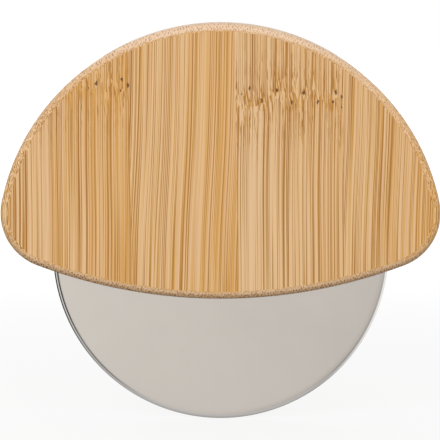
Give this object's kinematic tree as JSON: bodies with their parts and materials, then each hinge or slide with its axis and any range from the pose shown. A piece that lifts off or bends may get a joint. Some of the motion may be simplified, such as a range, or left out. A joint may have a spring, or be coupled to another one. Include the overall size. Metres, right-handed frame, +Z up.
{
  "type": "pizza cutter wheel",
  "caption": "Palm-held pizza cutter: a half-moon bamboo handle in halves, closed round a round steel blade that spins freely on a hidden axle.",
  "frame": {"origin": "lowest point of the blade's edge, on the blade's middle plane, with the handle above", "axes": "+X to the right along the handle, +Y from the front face to the rear face along the axle, +Z up"},
  "size_m": [0.1102, 0.02, 0.1005],
  "materials": {
    "bamboo": "oiled, fine upright grain",
    "blade_steel": "fine satin with a ground edge",
    "hub_plastic": "moulded, matt",
    "rivet_aluminium": "bright",
    "fixing_steel": "bright turned",
    "insert_brass": "turned",
    "washer_plastic": "matt",
    "dowel_wood": "plain turned"
  },
  "bodies": {
    "handle": {"front_half": "bamboo", "rear_half": "bamboo", "axle_pin": "fixing_steel", "axle_cup_front": "insert_brass", "axle_cup_rear": "insert_brass", "thrust_washer_front": "washer_plastic", "thrust_washer_rear": "washer_plastic", "dowel_left": "dowel_wood", "dowel_right": "dowel_wood", "insert_top": "insert_brass", "insert_left": "insert_brass", "insert_right": "insert_brass", "screw_top": "fixing_steel", "screw_left": "fixing_steel", "screw_right": "fixing_steel"},
    "wheel": {"blade": "blade_steel", "hub_bush": "hub_plastic", "hub_collar": "hub_plastic", "hub_rivet_1": "rivet_aluminium", "hub_rivet_2": "rivet_aluminium", "hub_rivet_3": "rivet_aluminium"}
  },
  "joints": [
    {"name": "wheel_spin", "type": "hinge", "parent": "handle", "child": "wheel", "pos_m": [0, 0, 0.0425], "axis": [0, 1, 0], "continuous": true}
  ]
}
